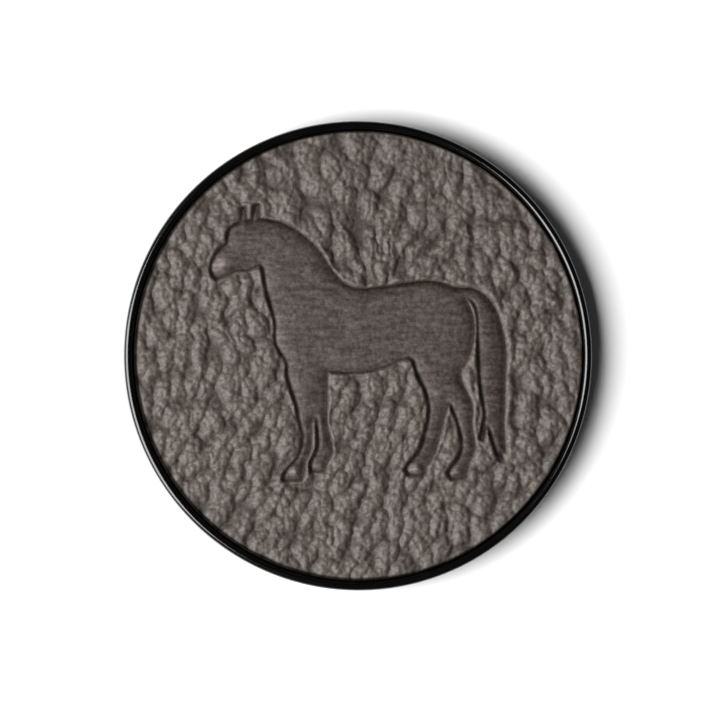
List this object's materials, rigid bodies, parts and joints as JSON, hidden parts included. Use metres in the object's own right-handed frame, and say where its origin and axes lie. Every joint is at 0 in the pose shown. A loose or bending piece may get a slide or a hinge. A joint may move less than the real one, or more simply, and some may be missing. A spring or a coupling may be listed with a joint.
{
  "type": "leather-faced horse medallion",
  "caption": "Round flat medallion: glossy black metal bezel with a rounded rim round a pebble-grained grey-brown leather disc that has a standing horse pressed into it.",
  "frame": {"origin": "centre of the flat back, where the medallion lies on a surface", "axes": "+Z out of the leather face, +Y to the top of the picture (the horse's ears), -X where the horse looks"},
  "size_m": [0.045, 0.045, 0.0033],
  "materials": {
    "bezel": "glossy black enamel, fine handling wear on the crown of the rim",
    "leather": "grey-brown milled leather, coarse pebbled grain, smooth and darker where pressed"
  },
  "bodies": {
    "root": {"bezel": "bezel", "leather_inlay": "leather"}
  },
  "joints": []
}
